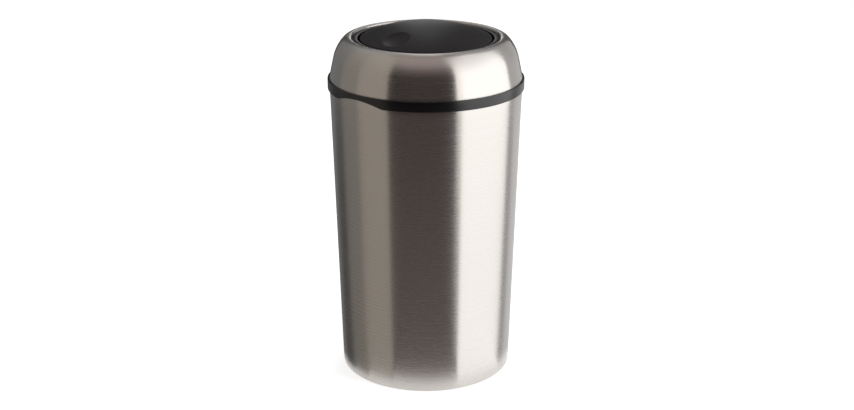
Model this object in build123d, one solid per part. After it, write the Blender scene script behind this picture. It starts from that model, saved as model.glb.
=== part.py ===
from build123d import *
import math
import os

# Swing-lid trash can, in millimetres. +Z is up, the origin is at the centre of
# the floor plane, -Y is the front, where the thumb dimple is, and the flap turns
# about an axis along X. The band's finger scoop sits a few degrees round from the
# front, because the dome is not indexed to the band.

# Steel can: a rolled sheet that tapers straight down to the floor
steel_gauge = 0.8
foot_radius = 147.4
lip_radius = 161.7
lip_width = 4.2
lip_return = 4.0
lip_fold = 1.6
shell_ground_gap = 1.0
hem_height = 6.0

# Base: a pressed steel pan over a moulded ring that stands on rubber pads
base_ring_clearance = 0.2
base_ring_width = 15.6
base_ring_ground_gap = 0.8
base_ring_wall = 2.0
base_rib_count = 24
pan_dish_inset = 25.4
pan_dish_rise = 1.2
pad_count = 6
pad_radius = 5.2
pad_ground_drop = 0.8
pad_recess = 1.6
pad_clearance = 0.15
base_screw_count = 6
base_boss_inset = 1.0

# Lift-out bucket, which hangs by its flange on the can's lip
bucket_wall = 2.0
bucket_floor = 2.5
bucket_flange_thickness = 2.4
bucket_flange_inset = 0.5
bucket_mouth_gap = 2.0
bucket_side_gap = 8.4
bucket_base_gap = 2.2
bucket_corner = 9.0
bucket_push_up = 3.0
bucket_foot_width = 21.0
grip_width = 80.0
grip_height = 16.0
grip_below_flange = 21.0

# Lid band, the black moulding between can and dome
band_gap = 0.9
band_wall = 2.4
band_height = 17.1
band_web = 2.5
band_web_reach = 9.0
band_recess = 1.0
band_recess_depth = 1.5
band_edge_round = 0.7
band_rim_gap = 0.6
band_rim_wall = 1.7
band_rim_drop = 5.4
scoop_depth = 8.6
scoop_radius = 146.0
scoop_corner_round = 20.0
scoop_turn = -5.2
band_screw_count = 8
band_screw_seat_margin = 1.2
band_screw_reach = 3.2

# Dome, spun from the same sheet, with a rolled mouth
dome_skirt_gap = 0.6
dome_flange_inset = 1.0
dome_skirt = 2.5
dome_peak_height = 584.0
dome_rise = 68.6
dome_side_inset = 7.0
dome_side_drop = 35.9
dome_haunch_inset = 22.55
dome_haunch_drop = 5.35
dome_peak_inset = 34.4
mouth_roll = 4.0
mouth_flange_drop = 8.0
mouth_flange_width = 6.8
sheet_bend = 1.4

# Bezel, the black ring seated in the dome's mouth
bezel_seam = 0.8
bezel_width = 9.0
bezel_rim_rise = 5.0
bezel_outer_drop = 0.5
bezel_crown = 0.7
bezel_sleeve_wall = 2.5
bezel_sleeve_drop = 4.2
bezel_roof = 1.6

# Carrier ring, which clamps the dome's flange from below and holds the bearings
carrier_thickness = 5.0
carrier_reach = 8.4
carrier_ledge = 0.2
carrier_skin = 1.0
carrier_screw_count = 6
carrier_first_screw = 30.0

# Flap
flap_gap = 3.8
flap_crown = 25.5
flap_skirt = 10.0
flap_wall = 2.0
flap_edge_round = 2.4
dimple_radius = 23.0
dimple_depth = 4.0
dimple_from_rim = 30.5
dimple_edge_round = 1.2
flap_pan_thickness = 2.4
flap_pan_inset = 0.4
flap_nest_clearance = 0.3
flap_nest_wall = 2.0
flap_nest_height = 3.0
flap_post_radius = 4.0
flap_socket = 8.0
flap_screw_inset = 15.0
flap_screw_count = 6
flap_first_screw = 30.0

# Pivot: a steel pin in each side of the flap, turning in a bearing block
pivot_drop = 5.0
pin_radius = 2.0
pin_press = 0.01
pin_running = 0.05
pin_length = 31.0
pin_chamfer = 0.4
boss_radius = 5.0
boss_length = 20.4
boss_gusset = 3.0
boss_gusset_spread = 22.0
boss_neck_inset = 3.8
block_gap = 0.6
block_length = 14.0
block_radius = 6.0
block_foot_thickness = 4.0
block_foot_span = 32.0
block_screw_spread = 24.0
block_screw_offset = 1.0
pin_end_gap = 1.0

# Counterweight, a steel bar in a tray under the flap
weight_length = 140.0
weight_width = 22.0
weight_height = 12.0
weight_drop = 11.0
weight_chamfer = 1.5
tray_wall = 2.0
tray_clearance = 0.3
tray_ear = 14.0
tray_ear_thickness = 2.5
tray_draft = 4.0
clamp_rib_thickness = 3.0
clamp_rib_spacing = 80.0
tray_screw_from_end = 6.5

# Screws
screw_radius = 1.5
screw_head_radius = 2.6
screw_head_height = 1.9
screw_head_round = 1.14
screw_clearance = 0.2
screw_bite = 0.05
screw_tip_gap = 0.4
cutter_spill = 1.0

# Heights that follow: the can is as tall as the dome's peak leaves it
band_top = dome_peak_height - dome_rise
band_bottom = band_top - band_height
band_web_top = band_top - dome_skirt
band_web_bottom = band_web_top - band_web
bucket_rim = band_web_bottom
lip_height = bucket_rim - bucket_flange_thickness
pan_height = shell_ground_gap + hem_height
bucket_base = pan_height + steel_gauge + bucket_base_gap
mouth_flange_height = dome_peak_height - mouth_flange_drop
mouth_flange_bottom = mouth_flange_height - steel_gauge
carrier_bottom = mouth_flange_bottom - carrier_thickness
bezel_rim_height = mouth_flange_height + bezel_rim_rise
bezel_sleeve_bottom = mouth_flange_height - bezel_sleeve_drop
bezel_pilot_top = bezel_rim_height - bezel_roof
flap_rim_height = bezel_rim_height
flap_skirt_bottom = flap_rim_height - flap_skirt
flap_pan_bottom = flap_skirt_bottom - flap_pan_thickness
pivot_height = flap_skirt_bottom - pivot_drop
weight_top = flap_pan_bottom - weight_drop
weight_bottom = weight_top - weight_height
tray_bottom = weight_bottom - tray_wall

# Radii that follow, from the can's wall inward
bucket_mouth_radius = lip_radius - lip_width - bucket_mouth_gap
bucket_base_radius = foot_radius - bucket_side_gap
bucket_push_up_radius = bucket_base_radius - bucket_foot_width
bucket_throat = bucket_mouth_radius - bucket_wall
pan_dish_radius = foot_radius - pan_dish_inset
band_inside = lip_radius + band_gap
band_radius = band_inside + band_wall
band_web_inner = bucket_throat - band_web_reach
band_screw_circle = band_web_inner + screw_head_radius + band_screw_seat_margin
dome_radius = band_inside - dome_skirt_gap
dome_flange_inner = band_web_inner + dome_flange_inset
dome_side_radius = dome_radius - dome_side_inset
dome_haunch_radius = dome_radius - dome_haunch_inset
dome_peak_radius = dome_radius - dome_peak_inset
mouth_radius = dome_peak_radius - mouth_roll
mouth_flange_inner = mouth_radius - mouth_flange_width
bezel_radius = mouth_radius - bezel_seam
bezel_opening = bezel_radius - bezel_width
carrier_outer = mouth_radius + carrier_reach
carrier_screw_circle = (mouth_flange_inner + bezel_radius) / 2
flap_radius = bezel_opening - flap_gap
flap_screw_circle = flap_radius - flap_screw_inset
dimple_from_axis = flap_radius - dimple_from_rim
crown_radius = (flap_radius**2 + flap_crown**2) / (2 * flap_crown)
crown_centre = flap_rim_height + flap_crown - crown_radius
block_start = bezel_opening - block_gap
boss_end = block_start - block_gap
pin_start = boss_end - boss_length

# Base ring and pads, fitted inside the hem
foot_outer = foot_radius + (lip_radius - foot_radius) * shell_ground_gap / lip_height
base_ring_radius = foot_outer - 2 * steel_gauge - base_ring_clearance
base_ring_inner = base_ring_radius - base_ring_width
pad_circle = (base_ring_radius + base_ring_inner) / 2
pad_top = base_ring_ground_gap + pad_recess
pad_half_step = 180 / pad_count
base_screw_seat = pan_height - 2 * base_ring_wall


def shell_radius(height):
    """Outside radius of the steel can at a height above the floor."""
    return foot_radius + (lip_radius - foot_radius) * height / lip_height


def bucket_radius(height):
    """Outside radius of the bucket's wall at a height above the floor."""
    share = (height - bucket_base) / (lip_height - bucket_base)
    return bucket_base_radius + (bucket_mouth_radius - bucket_base_radius) * share


def turned(section):
    """Solid of revolution about the can's axis from a section drawn as (radius, height)."""
    return revolve(Plane.XZ * section, Axis.Z)


def outline(*points):
    """Section with straight sides, from (radius, height) corners."""
    return make_face(Polyline(*points, close=True))


def ring(inner, outer, bottom, top):
    """Plain ring about the can's axis."""
    return turned(outline((inner, bottom), (outer, bottom), (outer, top), (inner, top)))


def sheet(path):
    """Section of steel sheet whose outside face follows the path, with the metal on its left."""
    return make_face(offset(path, amount=steel_gauge, side=Side.LEFT))


def around(radius, count, first_angle=0.0):
    """Places evenly spaced on a circle, each turned to face outward."""
    return PolarLocations(radius, count, start_angle=first_angle)


def upright(radius, bottom, top):
    """Upright cylinder on the local axis, between two heights."""
    return Pos(0, 0, (bottom + top) / 2) * Cylinder(radius, top - bottom)


def through(radius, bottom, top):
    """Round cutter for a hole right through a plate between two heights."""
    return upright(radius, bottom - cutter_spill, top + cutter_spill)


def pilot(bottom, top):
    """Round cutter for a screw's blind hole, open at its lower end."""
    return upright(screw_radius + screw_bite, bottom - cutter_spill, top)


def screw(seat, tip):
    """Pan-head screw driven upward: its head hangs below the seat and its tip is above."""
    head = upright(screw_head_radius, seat - screw_head_height, seat)
    head = fillet(head.edges().group_by(Axis.Z)[0], screw_head_round)
    return head + upright(screw_radius, seat, tip)


def save(name, shape):
    """Writes one sub-part to its own file."""
    os.makedirs("parts", exist_ok=True)
    export_step(shape, f"parts/{name}.step")


def body_shell():
    """Tapered steel can with a folded lip at the top and a hem at the floor."""
    lip_inner = lip_radius - lip_width
    wall = FilletPolyline(
        (foot_outer, shell_ground_gap),
        (lip_radius, lip_height),
        (lip_inner, lip_height),
        (lip_inner, lip_height - lip_return),
        radius=lip_fold,
    )
    hem_foot = foot_outer - steel_gauge
    hem_head = shell_radius(pan_height) - steel_gauge
    hem = outline(
        (hem_foot - steel_gauge, shell_ground_gap),
        (hem_foot, shell_ground_gap),
        (hem_head, pan_height),
        (hem_head - steel_gauge, pan_height),
    )
    return turned(sheet(wall)) + turned(hem)


def base_pan():
    """Pressed steel disc that sits on the can's hem, dished up in the middle."""
    rim = shell_radius(pan_height) - steel_gauge - base_ring_clearance
    upper = FilletPolyline(
        (rim, pan_height),
        (pan_dish_radius, pan_height),
        (pan_dish_radius - 2 * pan_dish_rise, pan_height + pan_dish_rise),
        (0, pan_height + pan_dish_rise),
        radius=sheet_bend,
    )
    pan = turned(make_face(offset(upper, amount=steel_gauge, side=Side.RIGHT)))
    hole = through(screw_radius + screw_bite, pan_height, pan_height + steel_gauge)
    return pan - [place * hole for place in around(pad_circle, base_screw_count, pad_half_step)]


def base_ring():
    """Moulded channel ring, open downward, with ribs, pad bosses and screw bosses."""
    blank = ring(base_ring_inner, base_ring_radius, base_ring_ground_gap, pan_height)
    channel = ring(
        base_ring_inner + base_ring_wall,
        base_ring_radius - base_ring_wall,
        base_ring_ground_gap,
        pan_height - base_ring_wall,
    )
    rib_height = pan_height - base_ring_ground_gap
    rib = Pos(0, 0, base_ring_ground_gap + rib_height / 2) * Box(base_ring_width, base_ring_wall, rib_height)
    boss = upright(base_ring_width / 2 - base_boss_inset, base_ring_ground_gap, pan_height)
    kept = [place * rib for place in around(pad_circle, base_rib_count, 180 / base_rib_count)]
    kept += [place * boss for place in around(pad_circle, pad_count)]
    kept += [place * boss for place in around(pad_circle, base_screw_count, pad_half_step)]
    recess = upright(pad_radius + pad_clearance, base_ring_ground_gap - cutter_spill, pad_top)
    hole = through(screw_radius + screw_clearance, base_ring_ground_gap, pan_height)
    sink = upright(screw_head_radius + screw_clearance, base_ring_ground_gap - cutter_spill, base_screw_seat)
    moulding = blank - (channel - kept)
    moulding -= [place * recess for place in around(pad_circle, pad_count)]
    return moulding - [place * (hole + sink) for place in around(pad_circle, base_screw_count, pad_half_step)]


def foot_pads():
    """Rubber pads pressed into the base ring; they alone touch the floor."""
    pad = upright(pad_radius, 0, pad_top)
    pad = chamfer(pad.edges().group_by(Axis.Z)[0], pad_ground_drop / 2)
    return Compound([place * pad for place in around(pad_circle, pad_count)])


def base_screws():
    """Screws through the base ring into the steel pan."""
    one = screw(base_screw_seat, pan_height + steel_gauge + pan_dish_rise)
    return Compound([place * one for place in around(pad_circle, base_screw_count, pad_half_step)])


def inner_bucket():
    """Moulded lift-out bucket with a flange, a pushed-up floor and two hand grips."""
    base = bucket_base
    push_foot = bucket_push_up_radius + bucket_push_up
    flange = lip_radius - bucket_flange_inset
    outside = FilletPolyline(
        (0, base + bucket_push_up),
        (bucket_push_up_radius, base + bucket_push_up),
        (push_foot, base),
        (bucket_base_radius, base),
        (bucket_mouth_radius, lip_height),
        radius=[bucket_wall, bucket_wall, bucket_corner],
    )
    inside_corner = bucket_corner - bucket_wall
    inside = FilletPolyline(
        (bucket_throat, bucket_rim),
        (bucket_radius(base + bucket_floor) - bucket_wall, base + bucket_floor),
        (push_foot, base + bucket_floor),
        (bucket_push_up_radius, base + bucket_push_up + bucket_floor),
        (0, base + bucket_push_up + bucket_floor),
        radius=[inside_corner, bucket_wall, bucket_wall],
    )
    rim = Polyline(
        (bucket_mouth_radius, lip_height),
        (flange, lip_height),
        (flange, bucket_rim),
        (bucket_throat, bucket_rim),
    )
    spine = Line((0, base + bucket_push_up + bucket_floor), (0, base + bucket_push_up))
    body = turned(make_face(outside + rim + inside + spine))
    slot = extrude(Plane.YZ * SlotOverall(grip_width, grip_height), amount=lip_radius, both=True)
    return body - Pos(0, 0, lip_height - grip_below_flange) * slot


def scoop():
    """Finger scoop as a block to cut away: a shallow arch whose lower corners are rounded off."""
    half_span = math.sqrt(scoop_radius**2 - (scoop_radius - scoop_depth) ** 2)
    corners = [(-half_span, band_bottom), (half_span, band_bottom)]
    crest = ThreePointArc(corners[0], (0, band_bottom + scoop_depth), corners[1])
    arch = make_face(crest + Line(*corners))
    arch += Pos(0, band_bottom - scoop_depth / 2) * Rectangle(4 * half_span, scoop_depth)
    arch = fillet([arch.vertices().sort_by_distance((*corner, 0))[0] for corner in corners], scoop_corner_round)
    cutter = extrude(Plane.XZ.offset(band_radius) * arch, amount=3 * band_wall, both=True)
    return Rot(0, 0, scoop_turn) * cutter


def band_screw_places():
    """Places of the screws that join the band to the dome."""
    return around(band_screw_circle, band_screw_count, 180 / band_screw_count)


def lid_band():
    """Black moulding: an outer wall with a finger scoop, and a web that rests on the bucket."""
    wall = outline(
        (band_inside, band_bottom),
        (band_radius, band_bottom),
        (band_radius, band_top),
        (band_inside + band_recess, band_top),
        (band_inside, band_top - band_recess_depth),
        (band_inside, band_web_top),
        (band_web_inner, band_web_top),
        (band_web_inner, band_web_bottom),
        (band_inside, band_web_bottom),
    )
    outer_corners = wall.vertices().sort_by(Axis.X)[-2:]
    wall = fillet(outer_corners, band_edge_round)
    rim_outer = bucket_throat - band_rim_gap
    rim = ring(rim_outer - band_rim_wall, rim_outer, band_web_bottom - band_rim_drop, band_web_bottom)
    hole = through(screw_radius + screw_clearance, band_web_bottom, band_web_top)
    return turned(wall) + rim - scoop() - [place * hole for place in band_screw_places()]


def dome_shell():
    """Spun steel dome: a flange on the band's web, a bulged wall and a rolled mouth."""
    side = FilletPolyline(
        (dome_flange_inner, band_web_top),
        (dome_radius, band_web_top),
        (dome_radius, band_top),
        (dome_side_radius, dome_peak_height - dome_side_drop),
        radius=sheet_bend / 2,
    )
    haunch_end = (dome_haunch_radius, dome_peak_height - dome_haunch_drop)
    haunch = TangentArc(side @ 1, haunch_end, tangent=side % 1)
    crest = TangentArc(haunch_end, (dome_peak_radius, dome_peak_height), tangent=haunch % 1)
    rolled = TangentArc(crest @ 1, (mouth_radius, dome_peak_height - mouth_roll), tangent=crest % 1)
    mouth = FilletPolyline(
        (mouth_radius, dome_peak_height - mouth_roll),
        (mouth_radius, mouth_flange_height),
        (mouth_flange_inner, mouth_flange_height),
        radius=sheet_bend,
    )
    dome = turned(sheet(side + haunch + crest + rolled + mouth))
    low_hole = through(screw_radius + screw_bite, band_web_top, band_web_top + steel_gauge)
    high_hole = through(screw_radius + screw_clearance, mouth_flange_bottom, mouth_flange_height)
    dome -= [place * low_hole for place in band_screw_places()]
    return dome - [place * high_hole for place in carrier_screw_places()]


def band_screws():
    """Screws up through the band's web into the dome's flange."""
    one = screw(band_web_bottom, band_web_top + band_screw_reach)
    return Compound([place * one for place in band_screw_places()])


def carrier_screw_places():
    """Places of the screws that clamp the dome's mouth between carrier ring and bezel."""
    return around(carrier_screw_circle, carrier_screw_count, carrier_first_screw)


def opening_bezel():
    """Black ring that frames the opening, with a sleeve down through the dome's mouth."""
    outer_top = bezel_rim_height - bezel_outer_drop
    middle = (bezel_opening + bezel_radius) / 2
    crest = ThreePointArc(
        (bezel_radius, outer_top), (middle, bezel_rim_height + bezel_crown), (bezel_opening, bezel_rim_height)
    )
    sides = Polyline(
        (bezel_opening, bezel_rim_height),
        (bezel_opening, bezel_sleeve_bottom),
        (bezel_opening + bezel_sleeve_wall, bezel_sleeve_bottom),
        (bezel_opening + bezel_sleeve_wall, mouth_flange_height),
        (bezel_radius - sheet_bend, mouth_flange_height),
        (bezel_radius, mouth_flange_height + sheet_bend),
        (bezel_radius, outer_top),
    )
    blank = turned(make_face(crest + sides))
    socket = pilot(mouth_flange_height, bezel_pilot_top)
    return blank - [place * socket for place in carrier_screw_places()]


def carrier_ring():
    """Ring under the mouth's flange that clamps it to the bezel and carries the bearings."""
    inner = bezel_opening + bezel_sleeve_wall + carrier_ledge
    blank = ring(inner, carrier_outer, carrier_bottom, mouth_flange_bottom)
    hole = through(screw_radius + screw_clearance, carrier_bottom, mouth_flange_bottom)
    blank -= [place * hole for place in carrier_screw_places()]
    socket = pilot(carrier_bottom, mouth_flange_bottom - carrier_skin)
    return blank - [place * socket for place in bearing_screw_places()]


def carrier_screws():
    """Screws up through the carrier ring and the steel flange into the bezel."""
    one = screw(carrier_bottom, bezel_pilot_top - screw_tip_gap)
    return Compound([place * one for place in carrier_screw_places()])


def bearing_screw_places():
    """Places of the four screws, two beside each bearing."""
    middle = block_start + block_length / 2 + block_screw_offset
    return [Pos(side * middle, fore * block_screw_spread / 2, 0) for side in (-1, 1) for fore in (-1, 1)]


def bearing_block(side):
    """Moulded block with a blind bore for the pivot pin and two screwed feet."""
    foot_middle = block_start + block_length / 2
    foot_bottom = carrier_bottom - block_foot_thickness
    foot = Pos(foot_middle, 0, (carrier_bottom + foot_bottom) / 2)
    foot = foot * Box(block_length, block_foot_span, block_foot_thickness)
    foot = fillet(foot.edges().filter_by(Axis.Z), block_foot_thickness)
    neck_height = carrier_bottom - pivot_height
    neck = Pos(foot_middle, 0, pivot_height + neck_height / 2) * Box(block_length, 2 * block_radius, neck_height)
    barrel = Pos(foot_middle, 0, pivot_height) * Rot(0, 90, 0) * Cylinder(block_radius, block_length)
    barrel = split(barrel, bisect_by=Plane.XY.offset(carrier_bottom), keep=Keep.BOTTOM)
    bore_start = block_start - cutter_spill
    bore_end = pin_start + pin_length + pin_end_gap
    bore = Pos((bore_start + bore_end) / 2, 0, pivot_height)
    bore = bore * Rot(0, 90, 0) * Cylinder(pin_radius + pin_running, bore_end - bore_start)
    block = foot + neck + barrel - bore
    hole = through(screw_radius + screw_clearance, foot_bottom, carrier_bottom)
    block -= [place * hole for place in bearing_screw_places()]
    return block if side > 0 else mirror(block, Plane.YZ)


def bearing_screws():
    """Screws up through the bearing feet into the carrier ring."""
    one = screw(carrier_bottom - block_foot_thickness, mouth_flange_bottom - carrier_skin - screw_tip_gap)
    return Compound([place * one for place in bearing_screw_places()])


def flap_body(grown):
    """Domed round body of the flap, drawn in all round by an amount."""
    radius = flap_radius - grown
    sphere = crown_radius - grown
    rim = crown_centre + math.sqrt(sphere**2 - radius**2)
    crown = ThreePointArc(
        (radius, rim),
        (radius / 2, crown_centre + math.sqrt(sphere**2 - radius**2 / 4)),
        (0, crown_centre + sphere),
    )
    sides = Polyline((0, crown_centre + sphere), (0, flap_skirt_bottom), (radius, flap_skirt_bottom), (radius, rim))
    return turned(make_face(crown + sides))


def dimple(grown):
    """Ball that presses the thumb dimple into the crown, larger by an amount."""
    dish = (dimple_radius**2 + dimple_depth**2) / (2 * dimple_depth)
    chord = math.sqrt(crown_radius**2 - dimple_radius**2)
    reach = chord + dish - dimple_depth
    lean = math.asin(dimple_from_axis / crown_radius)
    return Pos(0, -reach * math.sin(lean), crown_centre + reach * math.cos(lean)) * Sphere(dish + grown)


def flap_screw_places():
    """Places of the flap's screws, clear of the pivots."""
    return around(flap_screw_circle, flap_screw_count, flap_first_screw)


def flap_cover():
    """Domed top of the flap: one wall thickness all over, with dimple and screw posts."""
    blank = flap_body(0)
    circles = blank.edges().filter_by(lambda edge: edge.is_closed).sort_by(Axis.Z)
    skin = fillet(circles[-1], flap_edge_round) - dimple(0)
    dished = skin.edges().filter_by(lambda edge: edge.is_closed).sort_by(Axis.Y)[0]
    skin = fillet(dished, dimple_edge_round)
    post = upright(flap_post_radius, flap_skirt_bottom - cutter_spill, flap_rim_height + flap_crown)
    hollow = flap_body(flap_wall) - dimple(flap_wall) - [place * post for place in flap_screw_places()]
    socket = pilot(flap_skirt_bottom, flap_skirt_bottom + flap_socket)
    return skin - hollow - [place * socket for place in flap_screw_places()]


def flap_pan():
    """Underside of the flap: a plate with a nesting rim, pivot bosses and clamp ribs."""
    rim_outer = flap_radius - flap_wall - flap_nest_clearance
    plate = ring(0, flap_radius - flap_pan_inset, flap_pan_bottom, flap_skirt_bottom)
    nest = ring(rim_outer - flap_nest_wall, rim_outer, flap_skirt_bottom, flap_skirt_bottom + flap_nest_height)
    boss_middle = pin_start + boss_length / 2
    boss = Pos(boss_middle, 0, pivot_height) * Rot(0, 90, 0) * Cylinder(boss_radius, boss_length)
    neck_height = flap_skirt_bottom - pivot_height
    neck = Pos(boss_middle - boss_neck_inset, 0, pivot_height + neck_height / 2)
    neck = neck * Box(boss_length - 2 * boss_neck_inset, 2 * boss_radius, neck_height)
    gusset_height = flap_pan_bottom - pivot_height + boss_radius
    gusset = Pos(boss_middle - boss_neck_inset, 0, flap_pan_bottom - gusset_height / 2)
    gusset = gusset * Box(boss_gusset, boss_gusset_spread, gusset_height)
    pin_middle = pin_start + pin_length / 2
    bore = Pos(pin_middle, 0, pivot_height) * Rot(0, 90, 0) * Cylinder(pin_radius + pin_press, pin_length)
    pivot = boss + neck + gusset
    clamp_width = weight_width - 2 * weight_chamfer
    clamp = Pos(0, 0, flap_pan_bottom - weight_drop / 2) * Box(clamp_rib_thickness, clamp_width, weight_drop)
    clamps = [Pos(side * clamp_rib_spacing / 2, 0, 0) * clamp for side in (-1, 1)]
    pan = plate + nest + pivot + mirror(pivot, Plane.YZ) + clamps
    pan -= [bore, mirror(bore, Plane.YZ)]
    hole = through(screw_radius + screw_clearance, flap_pan_bottom, flap_skirt_bottom)
    pan -= [place * hole for place in flap_screw_places()]
    tight_hole = through(screw_radius + screw_bite, flap_pan_bottom, flap_skirt_bottom)
    return pan - [place * tight_hole for place in tray_screw_places()]


def pivot_pin(side):
    """Steel pin pressed into the flap's boss."""
    pin = Pos(pin_start + pin_length / 2, 0, pivot_height) * Rot(0, 90, 0) * Cylinder(pin_radius, pin_length)
    pin = chamfer(pin.edges().filter_by(GeomType.CIRCLE), pin_chamfer)
    return pin if side > 0 else mirror(pin, Plane.YZ)


def counterweight():
    """Steel bar that brings the flap back level."""
    bar = Box(weight_length, weight_width, weight_height)
    bar = chamfer(bar.edges(), weight_chamfer)
    return Pos(0, 0, weight_bottom + weight_height / 2) * bar


def tray_screw_places():
    """Places of the tray's two screws, one in each ear."""
    reach = weight_length / 2 + tray_clearance + tray_wall + tray_ear - tray_screw_from_end
    return [Pos(side * reach, 0, 0) for side in (-1, 1)]


def weight_tray():
    """Moulded tray that carries the bar, drafted inward below and eared at both ends."""
    inner_length = weight_length + 2 * tray_clearance
    inner_width = weight_width + 2 * tray_clearance
    outer_length = inner_length + 2 * tray_wall
    outer_width = inner_width + 2 * tray_wall
    top_width = outer_width + tray_draft
    hull = Plane.XY.offset(tray_bottom) * Rectangle(outer_length, outer_width)
    mouth = Plane.XY.offset(flap_pan_bottom) * Rectangle(outer_length + tray_draft, top_width)
    body = loft([hull.face(), mouth.face()])
    floor = Plane.XY.offset(weight_bottom) * Rectangle(inner_length, inner_width)
    brim = Plane.XY.offset(flap_pan_bottom) * Rectangle(inner_length + tray_draft, inner_width + tray_draft)
    pocket = loft([floor.face(), brim.face()])
    ears = SlotOverall(outer_length + 2 * tray_ear, top_width)
    plate = Plane.XY.offset(flap_pan_bottom) * extrude(ears, amount=-tray_ear_thickness)
    hole = through(screw_radius + screw_clearance, flap_pan_bottom - tray_ear_thickness, flap_pan_bottom)
    return body + plate - pocket - [place * hole for place in tray_screw_places()]


def tray_screws():
    """Screws up through the tray's ears into the flap's plate."""
    one = screw(flap_pan_bottom - tray_ear_thickness, flap_skirt_bottom)
    return Compound([place * one for place in tray_screw_places()])


def flap_screws():
    """Screws up through the plate into the cover's posts."""
    one = screw(flap_pan_bottom, flap_skirt_bottom + flap_socket - screw_tip_gap)
    return Compound([place * one for place in flap_screw_places()])


save("body_shell", body_shell())
save("base_pan", base_pan())
save("base_ring", base_ring())
save("foot_pads", foot_pads())
save("base_screws", base_screws())
save("inner_bucket", inner_bucket())
save("lid_band", lid_band())
save("dome_shell", dome_shell())
save("band_screws", band_screws())
save("opening_bezel", opening_bezel())
save("carrier_ring", carrier_ring())
save("carrier_screws", carrier_screws())
save("bearing_block_right", bearing_block(1))
save("bearing_block_left", bearing_block(-1))
save("bearing_screws", bearing_screws())
save("flap_cover", flap_cover())
save("flap_pan", flap_pan())
save("pivot_pin_right", pivot_pin(1))
save("pivot_pin_left", pivot_pin(-1))
save("counterweight", counterweight())
save("weight_tray", weight_tray())
save("tray_screws", tray_screws())
save("flap_screws", flap_screws())
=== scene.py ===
import math

import bmesh
import bpy
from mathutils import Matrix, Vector


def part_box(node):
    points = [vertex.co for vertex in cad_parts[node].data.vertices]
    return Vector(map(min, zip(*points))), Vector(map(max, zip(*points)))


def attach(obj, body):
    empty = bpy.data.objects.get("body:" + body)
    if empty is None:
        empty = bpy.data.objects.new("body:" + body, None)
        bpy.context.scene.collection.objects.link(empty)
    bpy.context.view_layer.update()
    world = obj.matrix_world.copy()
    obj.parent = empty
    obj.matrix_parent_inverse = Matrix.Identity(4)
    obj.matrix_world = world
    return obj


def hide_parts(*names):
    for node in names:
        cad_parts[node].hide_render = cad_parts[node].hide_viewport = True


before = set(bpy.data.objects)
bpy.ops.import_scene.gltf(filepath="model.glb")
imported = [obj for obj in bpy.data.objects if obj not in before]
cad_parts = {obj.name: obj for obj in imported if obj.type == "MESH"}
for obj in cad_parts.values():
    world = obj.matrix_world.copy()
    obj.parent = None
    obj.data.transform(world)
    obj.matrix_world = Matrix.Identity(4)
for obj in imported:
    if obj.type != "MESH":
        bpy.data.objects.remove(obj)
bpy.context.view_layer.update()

# The steel can is one sheet rolled to a cone that narrows to the floor, with its
# top edge folded inward as a lip and its bottom edge hemmed inside. The sheet is
# brushed round the can, so that reflections smear up and down it.
can_low, can_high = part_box("body_shell")
sheet_gauge = 0.0008
can_lip_radius = 0.1617
can_foot_radius = 0.1474
can_lip_fold = 0.0016
can_lip_width = 0.0042
can_lip_return = 0.004
can_hem_height = 0.006
can_wall_steps = 24
lathe_steps = 256
merge_distance = 1e-6
sharp_corner = 30.0
sheet_colour = (0.605, 0.575, 0.545)
sheet_smear = 0.95
sheet_streaks = 1100.0
gloss_swing = 0.15
gloss_drift = 0.12
weld_half_width = 0.0009
weld_tint = (0.62, 0.6, 0.58)


def quarter(centre, radius, start, end, steps=5):
    """Points of an arc in the (radius, height) plane, with its angles in degrees."""
    turns = [math.radians(start + (end - start) * step / steps) for step in range(steps + 1)]
    across, up = centre
    return [(across + radius * math.cos(turn), up + radius * math.sin(turn)) for turn in turns]


def straight(start, end, steps):
    """Evenly spaced points from one point to another, without the last."""
    return [
        tuple(a + (b - a) * step / steps for a, b in zip(start, end)) for step in range(steps)
    ]


def finish_mesh(name, mesh, material, crease=sharp_corner):
    """Turns a bmesh into a smooth-shaded object, its faces outward and its true corners sharp."""
    bmesh.ops.remove_doubles(mesh, verts=mesh.verts, dist=merge_distance)
    bmesh.ops.recalc_face_normals(mesh, faces=mesh.faces)
    data = bpy.data.meshes.new(name)
    mesh.to_mesh(data)
    mesh.free()
    data.shade_smooth()
    data.set_sharp_from_angle(angle=math.radians(crease))
    data.materials.append(material)
    piece = bpy.data.objects.new(name, data)
    bpy.context.scene.collection.objects.link(piece)
    return piece


def lathe(name, profile, material, steps=lathe_steps, shift=None):
    """Spins a closed (radius, height) outline about the can's axis; shift lifts single points."""
    mesh = bmesh.new()
    rings = []
    for step in range(steps):
        turn = 2 * math.pi * step / steps
        ring = []
        for radius, height in profile:
            lift = shift(turn, radius, height) if shift else 0.0
            place = (radius * math.cos(turn), radius * math.sin(turn), height + lift)
            ring.append(mesh.verts.new(place))
        rings.append(ring)
    for step in range(steps):
        here, there = rings[step], rings[(step + 1) % steps]
        for spot in range(len(profile)):
            after = (spot + 1) % len(profile)
            mesh.faces.new((here[spot], there[spot], there[after], here[after]))
    return finish_mesh(name, mesh, material)


def add(tree, kind, **settings):
    """Adds a shader node and sets the sockets and fields that are named."""
    node = tree.nodes.new(kind)
    for key, value in settings.items():
        if hasattr(node, key):
            setattr(node, key, value)
        else:
            node.inputs[key.replace("_", " ")].default_value = value
    return node


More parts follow.
